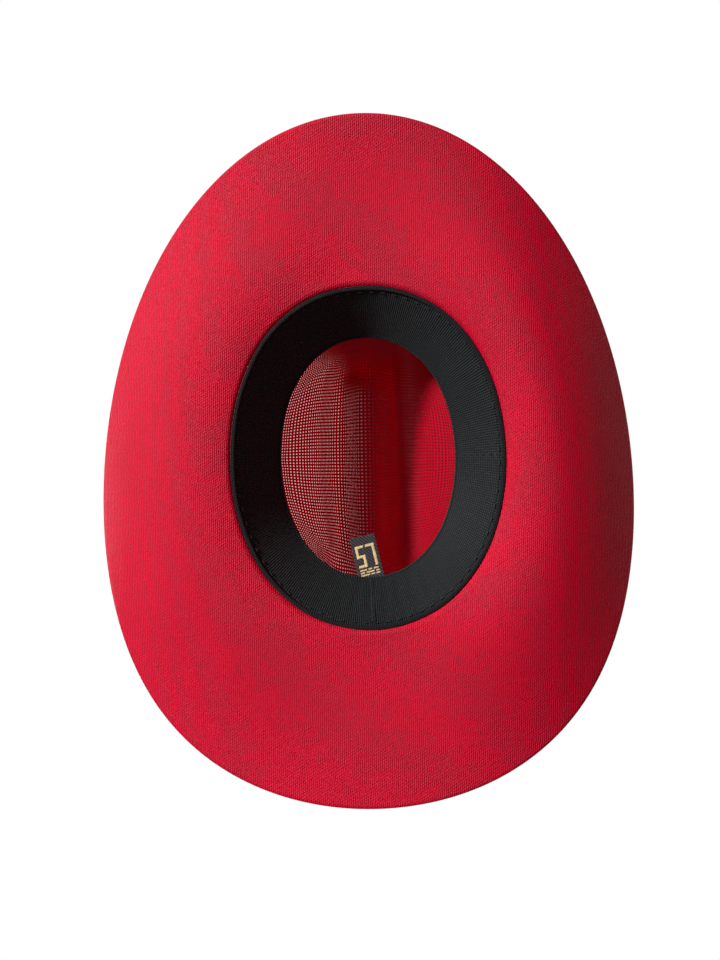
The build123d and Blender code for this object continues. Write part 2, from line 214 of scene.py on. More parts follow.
# The crown's cross-section: height and share of the crease's depth at distances from the middle.
SECTION_X = np.array([0, 6, 11, 16, 20, 25, 29, 34, 44, 58, 77, 104, 140], float)
SECTION_Z = np.array([111, 111, 111, 111, 111, 107, 97, 82, 68, 56, 38, 12, -22], float)
SECTION_CREASE = np.array([1, 0.93, 0.5, 0.07, 0, 0, 0, 0, 0, 0, 0, 0, 0], float)


def smooth_curve(x, knots, values):
    """Cubic curve through knots and values, flat at the first knot."""
    slopes = np.zeros(len(knots))
    slopes[1:-1] = (values[2:] - values[:-2]) / (knots[2:] - knots[:-2])
    slopes[-1] = (values[-1] - values[-2]) / (knots[-1] - knots[-2])
    i = np.clip(np.searchsorted(knots, x) - 1, 0, len(knots) - 2)
    span = knots[i + 1] - knots[i]
    t = np.clip((x - knots[i]) / span, 0, 1)
    return (
        values[i] * (1 + 2 * t) * (1 - t) ** 2
        + slopes[i] * span * t * (1 - t) ** 2
        + values[i + 1] * t * t * (3 - 2 * t)
        - slopes[i + 1] * span * t * t * (1 - t)
    )


def ease(value, limits):
    t = np.clip((value - limits[0]) / (limits[1] - limits[0]), 0, 1)
    return t * t * (3 - 2 * t)


def crown_top(x, reach):
    """Height of the creased top above the head opening; reach is measured back from its centre."""
    back = (reach + SECTION_REACH) / (2 * SECTION_REACH)
    scale = CREASE_FRONT_SCALE + (CREASE_BACK_SCALE - CREASE_FRONT_SCALE) * back
    shallower = (1 - CREASE_BACK_SHARE) * ease(reach, CREASE_BACK)
    depth = CREASE_DEPTH * (ease(reach, CREASE_FRONT) - shallower)
    across = np.abs(x) / scale
    ridge = smooth_curve(across, SECTION_X, SECTION_Z)
    crease = smooth_curve(across, SECTION_X, SECTION_CREASE)
    height = ridge - depth * crease
    return height + BACK_RAISE * back * np.clip(height / BACK_RAISE_FROM, 0, 1)


def crown_field(points):
    """Roughly the distance outside the crown's outer surface, with its shoulders rounded."""
    x, y, z = points[:, 0], points[:, 1] - HEAD_Y, points[:, 2] - HEAD_Z
    level = np.clip(z, 0, None)
    half_x, half_y = crown_half(level)
    behind = y - front_lean(level) / 2
    turn = np.arctan2(behind / half_y, x / half_x)
    size = np.hypot(x / half_x, behind / half_y) / fullness(turn)
    radius = np.where(size > 0.2, np.hypot(x, behind) / np.maximum(size, 0.2), half_x)
    wall = (size - 1) * radius
    step = 0.5
    top = crown_top(x, y)
    slope_x = (crown_top(x + step, y) - crown_top(x - step, y)) / (2 * step)
    slope_y = (crown_top(x, y + step) - crown_top(x, y - step)) / (2 * step)
    roof = (z - top) / np.sqrt(1 + slope_x ** 2 + slope_y ** 2)
    blend = np.clip(EDGE_ROUND - np.abs(wall - roof), 0, None) / EDGE_ROUND
    return np.maximum(wall, roof) + blend ** 2 * EDGE_ROUND / 4


def field_gradient(field, points, step=0.3):
    gradient = np.empty_like(points)
    for axis in range(3):
        shift = np.zeros(3)
        shift[axis] = step
        gradient[:, axis] = (field(points + shift) - field(points - shift)) / (2 * step)
    return gradient


def settle_on(field, points, level=0.0, rounds=3):
    """Moves points along the field's slope until they lie where it equals level."""
    for _ in range(rounds):
        gradient = field_gradient(field, points)
        steepness = np.maximum((gradient ** 2).sum(1), 0.1)
        move = ((field(points) - level) / steepness)[:, None] * gradient
        points = points - np.clip(move, -6, 6)
    return points


# ---- Crown cloth: a net of quads over the whole crown ---------------------------------------
LID_X, LID_Y = 80, 70
WALL_ROWS = 40
LID_HALF = (60.0, 83.0)
SEEN_HALF = (54.0, 72.0)
STRETCH_SHARE = 1.0
RELAX_ROUNDS = 160
RELAX_STEP = 0.6
SETTLE_EVERY = 4
HOLE_SHARE = 0.40
CLOTH_OUT, CLOTH_IN = -0.05, -0.85
THREAD_ROUND = 0.24
CROSSING_RELIEF = 0.10
SKIRT_LEVEL = 27.0


def lid_columns():
    """Places of the threads across the lid, from -1 to 1: a little closer together in plan where
    the cloth is steep, as cloth stretched over a hat block lies."""
    fine = np.linspace(-1, 1, 601) * LID_HALF[0]
    slope = np.gradient(crown_top(fine, 0 * fine), fine)
    weight = (1 + slope ** 2) ** (STRETCH_SHARE / 2)
    length = np.concatenate([[0], np.cumsum((weight[1:] + weight[:-1]) / 2)])
    steps = np.linspace(0, length[-1], LID_X + 1)
    return np.interp(steps, length, fine) / LID_HALF[0]


def crown_net():
    """Net points in millimetres and quads with the crown cloth's pitch: a lid across the top and
    rows of wall down to the brim. Returns points, quads and each quad's height in rows."""
    s, t = np.meshgrid(lid_columns(), np.linspace(-1, 1, LID_Y + 1), indexing="ij")
    x = LID_HALF[0] * s * np.sqrt(1 - 0.5 * t * t)
    y = LID_HALF[1] * t * np.sqrt(1 - 0.5 * s * s)
    z = crown_top(x, y)
    lid = np.stack([x, y + HEAD_Y, z + HEAD_Z], -1).reshape(-1, 3)
    index = np.arange((LID_X + 1) * (LID_Y + 1)).reshape(LID_X + 1, LID_Y + 1)
    rim = np.concatenate([index[-1, :-1], index[::-1, -1][:-1], index[0, ::-1][:-1], index[:-1, 0]])
    around = len(rim)
    # Base points share the rim's order: from front on the +X side round to the back.
    base = oval(base_turns(around), *CROWN_HALF, 0)
    rows = []
    for row in range(1, WALL_ROWS + 1):
        share = row / WALL_ROWS
        rows.append(lid[rim] * (1 - share) + base * share)
    points = np.concatenate([lid] + rows)
    corners = [index[:-1, :-1], index[1:, :-1], index[1:, 1:], index[:-1, 1:]]
    quads = np.stack(corners, -1).reshape(-1, 4).tolist()
    heights = [-1] * len(quads)
    above = rim
    for row in range(WALL_ROWS):
        below = len(lid) + row * around + np.arange(around)
        for k in range(around):
            after = (k + 1) % around
            quads.append([above[k], below[k], below[after], above[after]])
            heights.append(row)
        above = below
    quads = np.array(quads)
    edges = np.concatenate([quads[:, [0, 1]], quads[:, [1, 2]], quads[:, [2, 3]], quads[:, [3, 0]]])
    edges = np.unique(np.sort(edges, 1), axis=0)
    count = len(points)
    weight = np.bincount(edges.ravel(), minlength=count).astype(float)
    on_lid = np.arange(count) < len(lid)
    points = np.where(on_lid[:, None], settle_on(crown_field, points, 0, 4), points)
    spread = (points[:, 0] / SEEN_HALF[0]) ** 2 + ((points[:, 1] - HEAD_Y) / SEEN_HALF[1]) ** 2
    fixed = (np.arange(count) >= count - around) | (on_lid & (spread < 1))
    for relaxed in range(RELAX_ROUNDS):
        total = np.empty_like(points)
        for axis in range(3):
            total[:, axis] = np.bincount(edges[:, 0], points[edges[:, 1], axis], count)
            total[:, axis] += np.bincount(edges[:, 1], points[edges[:, 0], axis], count)
        target = total / weight[:, None]
        points = np.where(fixed[:, None], points, points + RELAX_STEP * (target - points))
        if relaxed % SETTLE_EVERY == SETTLE_EVERY - 1 or relaxed > RELAX_ROUNDS - SETTLE_EVERY:
            points = np.where(fixed[:, None], points, settle_on(crown_field, points, 0, 1))
    points = np.where(fixed[:, None], points, settle_on(crown_field, points, 0, 4))
    return points, quads, np.array(heights)


def base_turns(around):
    """Turns round the head oval at equal steps of length, starting at the front right corner."""
    fine = np.linspace(0, 2 * math.pi, 2881)
    ring = oval(fine, *CROWN_HALF, 0)
    length = np.concatenate([[0], np.cumsum(np.linalg.norm(np.diff(ring, axis=0), axis=1))])
    steps = (np.arange(around) - LID_Y / 2) / around * length[-1]
    return np.interp(np.mod(steps, length[-1]), length, fine)


def crown_pieces():
    """The crown cloth as framed cells: every cell is a ring of thread round an open hole, and the
    skirt under the ribbon and the sweatband is closed cloth."""
    points, quads, rows = crown_net()
    count = len(points)
    normal = field_gradient(crown_field, points)
    normal /= np.linalg.norm(normal, axis=1, keepdims=True)
    lid_count = (LID_X + 1) * (LID_Y + 1)
    around = 2 * (LID_X + LID_Y)
    lid_i, lid_j = np.divmod(np.arange(lid_count), LID_Y + 1)
    wall_i, wall_j = np.divmod(np.arange(count - lid_count), around)
    parity = np.concatenate([(lid_i + lid_j) % 2, (wall_i + wall_j) % 2]) * 2 - 1
    relief = (parity * CROSSING_RELIEF)[:, None] * normal
    outer = points + normal * CLOTH_OUT + relief
    inner = points + normal * CLOTH_IN + relief
    corner_p, corner_n = points[quads], normal[quads]
    centre = corner_p.mean(1, keepdims=True)
    hole = centre + (corner_p - centre) * HOLE_SHARE
    hole_outer = hole + corner_n * (CLOTH_OUT - THREAD_ROUND)
    hole_inner = hole + corner_n * (CLOTH_IN + THREAD_ROUND)
    closed = corner_p[:, :, 2].max(1) < HEAD_Z + SKIRT_LEVEL
    middle = centre[:, 0, :]
    # Painted light and shade in the holes, seen from inside: a glowing film in the cloth's
    # thickness.
    painted_light_shade_film(points + normal * (CLOTH_OUT + CLOTH_IN) / 2, quads[~closed][:, ::-1].tolist())
    groups = {
        "crown_top_cloth": rows < 0,
        "crown_front_cloth": (rows >= 0) & ~closed & (middle[:, 1] < HEAD_Y),
        "crown_back_cloth": (rows >= 0) & ~closed & (middle[:, 1] >= HEAD_Y),
    }
    made = []
    for name, chosen in groups.items():
        cells = np.nonzero(chosen)[0]
        used, local = np.unique(quads[cells], return_inverse=True)
        local = local.reshape(-1, 4)
        many = len(used)
        cell_base = 2 * many + np.arange(len(cells))[:, None] * 8
        ring = cell_base + np.arange(4)
        low = ring + 4
        faces = []
        for k in range(4):
            n = (k + 1) % 4
            faces.append(np.stack([local[:, k], local[:, n], ring[:, n], ring[:, k]], -1))
            below = local[:, n] + many, local[:, k] + many
            faces.append(np.stack([*below, low[:, k], low[:, n]], -1))
            faces.append(np.stack([ring[:, k], ring[:, n], low[:, n], low[:, k]], -1))
        edge_faces = boundary_walls(local, many)
        everything = np.concatenate(faces + [edge_faces]).tolist()
        holes = np.stack([hole_outer[cells], hole_inner[cells]], 1).reshape(-1, 3)
        cloud = np.concatenate([outer[used], inner[used], holes])
        made.append(add_mesh(name, cloud, everything))
    cells = np.nonzero(closed)[0]
    used, local = np.unique(quads[cells], return_inverse=True)
    local = local.reshape(-1, 4)
    many = len(used)
    faces = np.concatenate([local, local[:, ::-1] + many, boundary_walls(local, many)]).tolist()
    made.append(add_mesh("crown_skirt_cloth", np.concatenate([outer[used], inner[used]]), faces))
    return made


def boundary_walls(local, offset):
    """Faces that close a double skin along its open edges."""
    edges = np.concatenate([local[:, [0, 1]], local[:, [1, 2]], local[:, [2, 3]], local[:, [3, 0]]])
    keys = np.sort(edges, 1)
    keys = keys[:, 0] * (offset + 1) + keys[:, 1]
    values, first, counts = np.unique(keys, return_index=True, return_counts=True)
    rim = edges[first[counts == 1]]
    return np.stack([rim[:, 1], rim[:, 0], rim[:, 0] + offset, rim[:, 1] + offset], -1)


# ---- Brim -----------------------------------------------------------------------------------
BRIM_COLUMNS = 320
BRIM_ROWS = 44
BRIM_ROW_SPACING = 0.9
ROUNDING_REACH = 0.9975
EDGE_ROUNDING = 0.4


def brim_layer(name, lift, thickness):
    """One ply of the brim, with its outer edge rounded over."""
    turn = turns_round(BRIM_COLUMNS)[None, :]
    reach = np.linspace(0, 1, BRIM_ROWS) ** BRIM_ROW_SPACING
    reach = np.concatenate([reach[:-1], [ROUNDING_REACH, 1.0]])[:, None]
    under = brim_underside(turn + 0 * reach, reach + 0 * turn)
    inset = np.zeros(len(reach))
    inset[-1] = EDGE_ROUNDING * thickness
    under = under + np.array([0, 0, 1]) * (lift + inset[:, None, None])
    over = under + np.array([0, 0, 1]) * (thickness - 2 * inset[:, None, None])
    uv = under[:, :, :2]
    return shell(name, under[:, ::-1], over[:, ::-1], uv[:, ::-1], wrap=True)


# ---- Sweatband ------------------------------------------------------------------------------
BAND_TILT = math.atan2(BAND_RISE, BAND_INSET)
BAND_WIDTH = math.hypot(BAND_RISE, BAND_INSET)
BAND_COLUMNS = 480
BAND_ROWS = 48
BAND_ROW_SPACING = 1.2
MAP_RADIUS = 92.0
GATHERS, GATHER_HEIGHT, GATHER_SPREAD = 46, 0.30, 0.35
RIPPLES, RIPPLE_HEIGHT = 19, 0.12
EDGE_ROLL = 0.35
SEWN_EDGE_WIDTH = 2.3
SEWN_EDGE_THICKNESS = 0.84
FREE_EDGE_WIDTH, FREE_EDGE_THICKNESS = 2.5, 1.0
GROOVE_DEPTH = 1.6
GROOVE_SHARE = 0.10
JOIN_HALF_WIDTH = 1.5
JOIN_HEIGHT = 0.48


def band_face(turn, across, proud=0.0):
    """Point of the sweatband's visible face; across is 0 at the sewn edge and 1 at the free one."""
    inset = across * BAND_INSET + proud / math.sin(BAND_TILT)
    level = BAND_BASE + across * BAND_RISE
    return oval(turn, BAND_HALF[0] - inset, BAND_HALF[1] - inset, level)


def band_puckers(turn, across):
    """Small gathers: strongest beside the back seam and along the free edge."""
    from_seam = np.abs(np.angle(np.exp(1j * (turn - math.pi / 2))))
    gathers = GATHER_HEIGHT * np.exp(-from_seam / GATHER_SPREAD)
    gathers = gathers * np.sin(GATHERS * turn + 3 * across)
    ripple = RIPPLE_HEIGHT * np.sin(RIPPLES * turn + 1.3) * np.sin(7 * turn) * across
    return (gathers + ripple) * np.sin(math.pi * np.clip(across, 0.02, 0.98))


def sweatband_piece():
    turn = turns_round(BAND_COLUMNS)[None, :]
    across = (np.linspace(0, 1, BAND_ROWS) ** BAND_ROW_SPACING)[:, None]
    t, a = np.broadcast_arrays(turn, across)
    bump = band_puckers(t, a) - GROOVE_DEPTH * np.clip(1 - a / GROOVE_SHARE, 0, 1) ** 2
    roll = EDGE_ROLL * selvedge(a)
    face = band_face(t, a, bump - roll)
    back = band_face(t, a, bump - BAND_CLOTH + roll)
    uv = np.stack([t * MAP_RADIUS, a * BAND_WIDTH], -1)
    return shell("sweatband_elastic", face, back, uv, wrap=True)


def tube_round(name, centre, side, up, widths, sections=14):
    """Closed ring with an oval section; centre, side and up are arrays along the ring."""
    angle = turns_round(sections)
    ring = centre[None] + side[None] * (np.cos(angle) * widths[0])[:, None, None]
    ring = ring + up[None] * (np.sin(angle) * widths[1])[:, None, None]
    rows, columns = ring.shape[:2]
    points = ring.reshape(-1, 3)
    faces = []
    for i in range(rows):
        low, high = i * columns, ((i + 1) % rows) * columns
        for j in range(columns):
            after = (j + 1) % columns
            faces.append([low + j, low + after, high + after, high + j])
    step = np.linalg.norm(np.roll(centre, -1, 0) - centre, axis=1)
    u = np.concatenate([[0], np.cumsum(step)[:-1]])
    uv = np.stack(np.broadcast_arrays(u[None, :], (angle * widths[0])[:, None]), -1)
    return add_mesh(name, points, faces, uv.reshape(-1, 2))


def outer_hem_piece():
    """Folded sewn edge that lies flat over the joint of crown and brim."""
    turn = turns_round(BAND_COLUMNS)
    half = CROWN_HALF[0] - SEWN_EDGE_WIDTH / 2 - 0.1, CROWN_HALF[1] - SEWN_EDGE_WIDTH / 2 - 0.1
    wander = 0.12 * np.sin(5 * turn) + 0.08 * np.sin(13 * turn + 1)
    centre = oval(turn, *half, -0.40)
    centre[:, 2] -= 0.05 + 0.05 * np.sin(9 * turn)
    side = np.stack([np.cos(turn) / half[0], np.sin(turn) / half[1], 0 * turn], -1)
    side /= np.linalg.norm(side, axis=1, keepdims=True)
    centre = centre + side * wander[:, None]
    up = np.broadcast_to(np.array([0.0, 0, 1]), centre.shape)
    widths = SEWN_EDGE_WIDTH / 2, SEWN_EDGE_THICKNESS / 2
    return tube_round("sweatband_sewn_edge", centre, side, up, widths)


def inner_hem_piece():
    """Turned free edge of the band."""
    turn = turns_round(BAND_COLUMNS)
    a = 1 - 1.1 / BAND_WIDTH
    centre = band_face(turn, a + 0 * turn, 0.02)
    outward = band_face(turn, a + 0.02 + 0 * turn) - centre
    side = outward / np.linalg.norm(outward, axis=1, keepdims=True)
    along = np.roll(centre, -1, 0) - np.roll(centre, 1, 0)
    along /= np.linalg.norm(along, axis=1, keepdims=True)
    widths = FREE_EDGE_WIDTH / 2, FREE_EDGE_THICKNESS / 2
    return tube_round("sweatband_free_edge", centre, side, np.cross(along, side), widths)


def back_seam_piece():
    """The overlap where the band's two ends are sewn together at the back."""
    s = np.linspace(-1, 1, 9)[:, None]
    a = np.linspace(0.06, 0.93, 40)[None, :]
    s, a = np.broadcast_arrays(s, a)
    width = JOIN_HALF_WIDTH + 0.25 * np.sin(9 * a)
    turn = math.pi / 2 - 0.02 + (s * width + 0.5 * (a - 0.5)) / 80
    rise = JOIN_HEIGHT * np.sqrt(np.clip(1 - s ** 2, 0, 1)) + 0.06 * np.sin(52 * a)
    pucker = band_puckers(turn, a)
    top = band_face(turn, a, pucker + 0.05 + rise)
    low = band_face(turn, a, pucker - 0.1)
    uv = np.stack([s * width, a * BAND_WIDTH], -1)
    return shell("sweatband_back_join", top, low, uv)


# ---- Size label -----------------------------------------------------------------------------
LABEL_WIDTH, LABEL_LENGTH, LABEL_CLOTH = LABEL_SIZE
LABEL_RIB = 0.08
LABEL_TWILL = (0.8, 0.62)
LABEL_TWILL_PITCH = 1.6
LABEL_CURL = 0.45
LABEL_BOW = 0.25
LABEL_EDGE_FALL = 0.22


def label_axes():
    """Directions across the label, along it from its sewn edge, and out of its face."""
    yaw, lift = math.radians(LABEL_YAW), math.radians(LABEL_LIFT)
    across = np.array([math.cos(yaw), -math.sin(yaw), 0])
    flat = math.cos(lift)
    along = np.array([-math.sin(yaw) * flat, -math.cos(yaw) * flat, math.sin(lift)])
    return across, along, np.cross(across, along)


label_across, label_along, label_face = label_axes()
label_root = np.array([LABEL_ROOT[0], HEAD_Y + LABEL_ROOT[1], HEAD_Z + LABEL_ROOT[2]])


def on_label(x, y, proud):
    """Point over the label's face: x across it, y from its sewn edge, proud of its cloth."""
    x, y, proud = np.broadcast_arrays(np.asarray(x, float), y, proud)
    curl = LABEL_CURL * (y / LABEL_LENGTH) ** 2 + LABEL_BOW * np.cos(math.pi * x / LABEL_WIDTH)
    out = label_root + x[..., None] * label_across + y[..., None] * label_along
    return out + (proud + curl - LABEL_BOW)[..., None] * label_face


def label_piece():
    x = np.linspace(-LABEL_WIDTH / 2, LABEL_WIDTH / 2, 61)[None, :]
    y = np.linspace(0, LABEL_LENGTH, 101)[:, None]
    x, y = np.broadcast_arrays(x, y)
    diagonal = x * LABEL_TWILL[0] + y * LABEL_TWILL[1]
    ribs = LABEL_RIB * np.sin(2 * math.pi * diagonal / LABEL_TWILL_PITCH)
    edge = np.minimum(LABEL_WIDTH / 2 - np.abs(x), LABEL_LENGTH - y)
    fall = LABEL_EDGE_FALL * np.clip(1 - edge / 0.5, 0, 1) ** 2
    front = on_label(x, y, ribs - fall)
    back = on_label(x, y, fall - LABEL_CLOTH)
    return shell("size_label_cloth", front, back, np.stack([x, y], -1))


DIGIT = (5.6, 14.6)
DIGIT_STROKE = 1.8
DIGIT_PITCH = 6.7
DIGIT_CENTRE = 16.2
DIGIT_BARS = {
    "5": ("top", "upper left", "middle", "lower right", "bottom"),
    "7": ("top", "upper right", "lower right"),
}
SIZE_NUMBER = "57"
BAR_ROWS = (7.2, 5.5, 3.8)
BAR_HEIGHT = 1.0
BAR_LENGTHS = ((4.6, 2.6, 3.4), (3.0, 5.4, 2.2), (5.8, 2.4, 2.6))
BAR_SPACE = 0.8
SATIN_PITCH = 0.34
SATIN_HEIGHT = 0.22
SATIN_SLANT = 0.18
SATIN_LAP = 0.56
SATIN_STEPS = 5


def satin_rectangles():
    """Centre, width and height of every stroke on the label."""
    side, step = (DIGIT[0] - DIGIT_STROKE) / 2, (DIGIT[1] - DIGIT_STROKE) / 2
    upright, crossbar = (DIGIT_STROKE, step + DIGIT_STROKE), (DIGIT[0], DIGIT_STROKE)
    strokes = {
        "top": (0, step, crossbar),
        "middle": (0, 0, crossbar),
        "bottom": (0, -step, crossbar),
        "upper left": (-side, step / 2, upright),
        "upper right": (side, step / 2, upright),
        "lower right": (side, -step / 2, upright),
    }
    found = []
    for place, numeral in enumerate(SIZE_NUMBER):
        centre = (place - (len(SIZE_NUMBER) - 1) / 2) * DIGIT_PITCH
        for bar in DIGIT_BARS[numeral]:
            x, y, (width, height) = strokes[bar]
            found.append((centre + x, DIGIT_CENTRE + y, width, height))
    for row, lengths in zip(BAR_ROWS, BAR_LENGTHS):
        start = -(sum(lengths) + BAR_SPACE * (len(lengths) - 1)) / 2
        for length in lengths:
            found.append((start + length / 2, row, length, BAR_HEIGHT))
            start += length + BAR_SPACE
    return found


def lettering_piece():
    """Satin stitches laid side by side across every stroke of the numerals and woven bars."""
    draw = np.random.default_rng(57)
    points, faces = [], []
    steps = SATIN_STEPS
    ring = np.linspace(0, math.pi, steps)
    for x, y, width, height in satin_rectangles():
        tall = height > width
        run, span = (height, width) if tall else (width, height)
        for k in range(int(run / SATIN_PITCH)):
            along = -run / 2 + (k + 0.5) * SATIN_PITCH
            half = span / 2 * draw.uniform(0.9, 1.08)
            slant = SATIN_SLANT * draw.uniform(0.7, 1.3)
            base = len(points)
            for across in np.linspace(-half, half, steps):
                arch = SATIN_HEIGHT * (1 - 0.7 * (across / half) ** 2)
                for angle in ring:
                    shift = along + slant * across + SATIN_PITCH * SATIN_LAP * math.cos(angle)
                    px, py = (x + across, y + shift) if tall else (x + shift, y + across)
                    points.append(on_label(px, py, arch * math.sin(angle) - 0.02))
            last = base + (steps - 1) * steps
            for low in range(base, last, steps):
                high = low + steps
                for j in range(steps - 1):
                    faces.append([low + j, low + j + 1, high + j + 1, high + j])
                faces.append([high - 1, low, high, high + steps - 1])
            faces.append([base + j for j in reversed(range(steps))])
            faces.append([last + j for j in range(steps)])
    return add_mesh("size_label_numerals", np.array(points), faces)


# ---- Hatband and bow ------------------------------------------------------------------------
RIBBON_ROWS = 26
RIBBON_ROLL = 0.25
RIBBON_SAG = 0.18


def ribbon_piece():
    turn = turns_round(BAND_COLUMNS)[None, :]
    up = np.linspace(0, 1, RIBBON_ROWS)[:, None]
    t, u = np.broadcast_arrays(turn, up)
    level = RIBBON_BASE + u * RIBBON_WIDTH
    half_x, half_y = crown_half(level)
    sag = RIBBON_SAG * np.sin(11 * t + 2 * u) * np.sin(4 * t + 1)
    edge = RIBBON_ROLL * selvedge(u)
    outer = RIBBON_GAP + RIBBON_CLOTH + sag - edge
    inner = RIBBON_GAP + edge + 0 * sag
    front = oval(t, half_x + outer, half_y + outer, level)
    back = oval(t, half_x + inner, half_y + inner, level)
    uv = np.stack([t * MAP_RADIUS, u * RIBBON_WIDTH], -1)
    return shell("ribbon_hatband", front, back, uv, wrap=True)


def on_wall(y, level, proud):
    """Point beside the crown wall's +X side, at a place along Y and a height."""
    half_x, half_y = crown_half(level)
    half_x, half_y = half_x + proud, half_y + proud
    turn = np.arcsin(np.clip(y / half_y, -1, 1))
    return oval(turn, half_x, half_y, level)


BOW_LEVEL = RIBBON_BASE + RIBBON_WIDTH / 2
KNOT = (11.0, BOW_HEIGHT + 1.2, 4.1)
BOW_TIERS = (
    ("bow_long_tier", 31.0, 0.3, 3, "bow_back_tier"),
    ("bow_short_tier", 23.0, 2.2, 4, "bow_front_tier"),
)
PINCH_SHARE, PINCH_REACH = 0.22, 7.0
FOLD_HEIGHT, FOLD_REACH = 0.35, 11.0
TIER_BILLOW = 0.35
TIER_EDGE_THIN = 0.35
KNOT_RISE = 1.3
KNOT_FOLD = 0.18


def bow_tier(name, half_span, set_off, folds):
    """A flat tier of the bow, pinched under the knot, with notched ends."""
    s = np.linspace(-1, 1, 81)[None, :]
    t = np.linspace(-1, 1, 25)[:, None]
    s, t = np.broadcast_arrays(s, t)
    end = half_span - BOW_NOTCH * (1 - np.abs(t))
    pinch = 1 - PINCH_SHARE * np.exp(-(s * half_span / PINCH_REACH) ** 2)
    y = s * end
    level = BOW_LEVEL + t * BOW_HEIGHT / 2 * pinch
    gather = FOLD_HEIGHT * np.exp(-(s * half_span / FOLD_REACH) ** 2)
    billow = TIER_BILLOW * np.sin(math.pi * np.abs(s)) ** 2
    wave = gather * np.cos(folds * math.pi * t) + billow
    proud = RIBBON_GAP + RIBBON_CLOTH + set_off + wave
    edge = np.minimum(1 - np.abs(t), (1 - np.abs(s)) * half_span / 10)
    thin = TIER_EDGE_THIN * np.clip(1 - edge / 0.06, 0, 1)
    front = on_wall(y, level, proud + BOW_CLOTH - thin)
    back = on_wall(y, level, proud + 0.25 + thin)
    return shell(name, front, back, np.stack([y, t * BOW_HEIGHT / 2], -1))


def knot_piece():
    s = np.linspace(-1, 1, 33)[None, :]
    t = np.linspace(-1, 1, 41)[:, None]
    s, t = np.broadcast_arrays(s, t)
    width = KNOT[0] / 2 * (1 - 0.10 * np.cos(math.pi * t / 2))
    level = BOW_LEVEL + t * KNOT[1] / 2
    crown = KNOT_RISE * np.sqrt(np.clip(1 - s ** 2, 0, 1)) * (1 - 0.4 * t ** 4)
    folds = KNOT_FOLD * np.cos(5 * math.pi * s) * (1 - t ** 2)
    base = RIBBON_GAP + RIBBON_CLOTH + KNOT[2] - 0.4
    front = on_wall(s * width, level, base + crown + folds + 0.5)
    back = on_wall(s * width, level, base + 0 * s)
    return shell("bow_centre_wrap", front, back, np.stack([s * width, t * KNOT[1] / 2], -1))


def thread_tail(name, points, radius=0.2):
    """A short loose end of sewing thread, as a thin round curve."""
    curve = bpy.data.curves.new(name, "CURVE")
    curve.dimensions = "3D"
    curve.bevel_depth = radius * MM
    curve.bevel_resolution = 2
    curve.use_fill_caps = True
    spline = curve.splines.new("NURBS")
    spline.points.add(len(points) - 1)
    for target, point in zip(spline.points, points):
        target.co = (*(np.asarray(point) * MM), 1)
    spline.order_u = 3
    spline.use_endpoint_u = True
    piece = bpy.data.objects.new(name, curve)
    bpy.context.collection.objects.link(piece)
    return piece


# ---- Materials ------------------------------------------------------------------------------


class Nodes:
    """A node tree under construction, with short calls for the nodes that it needs."""

    def __init__(self, tree):
        self.nodes, self.links = tree.nodes, tree.links

    def put(self, socket, value):
        if isinstance(value, bpy.types.NodeSocket):
            self.links.new(value, socket)
        else:
            socket.default_value = value

    def math(self, operation, *values):
        node = self.nodes.new("ShaderNodeMath")
        node.operation = operation
        for socket, value in zip(node.inputs, values):
            self.put(socket, value)
        return node.outputs[0]

    def split(self, vector):
        node = self.nodes.new("ShaderNodeSeparateXYZ")
        self.put(node.inputs[0], vector)
        return node.outputs

    def noise(self, vector, scale, detail=3.0, roughness=0.55):
        node = self.nodes.new("ShaderNodeTexNoise")
        self.put(node.inputs["Vector"], vector)
        node.inputs["Scale"].default_value = scale
        node.inputs["Detail"].default_value = detail
        node.inputs["Roughness"].default_value = roughness
        return node.outputs["Fac"]

    def wave(self, value, pitch, phase=0.0):
        """Sine from 0 to 1 with the given pitch."""
        turned = self.math("MULTIPLY_ADD", value, 2 * math.pi / pitch, phase)
        return self.math("MULTIPLY_ADD", self.math("SINE", turned), 0.5, 0.5)

    def step(self, value, low, high):
        node = self.nodes.new("ShaderNodeMapRange")
        node.interpolation_type = "SMOOTHSTEP"
        self.put(node.inputs["Value"], value)
        node.inputs["From Min"].default_value = low
        node.inputs["From Max"].default_value = high
        return node.outputs[0]

    def ramp(self, factor, stops):
        node = self.nodes.new("ShaderNodeValToRGB")
        self.put(node.inputs[0], factor)
        while len(node.color_ramp.elements) < len(stops):
            node.color_ramp.elements.new(0.5)
        for element, (position, colour) in zip(node.color_ramp.elements, stops):
            element.position = position
            element.color = (*colour, 1)
        return node.outputs[0]

    def mix(self, factor, first, second, blend="MIX"):
        node = self.nodes.new("ShaderNodeMix")
        node.data_type = "RGBA"
        node.blend_type = blend
        self.put(node.inputs["Factor"], factor)
        for socket, value in ((node.inputs[6], first), (node.inputs[7], second)):
            self.put(socket, (*value, 1) if isinstance(value, tuple) else value)
        return node.outputs[2]


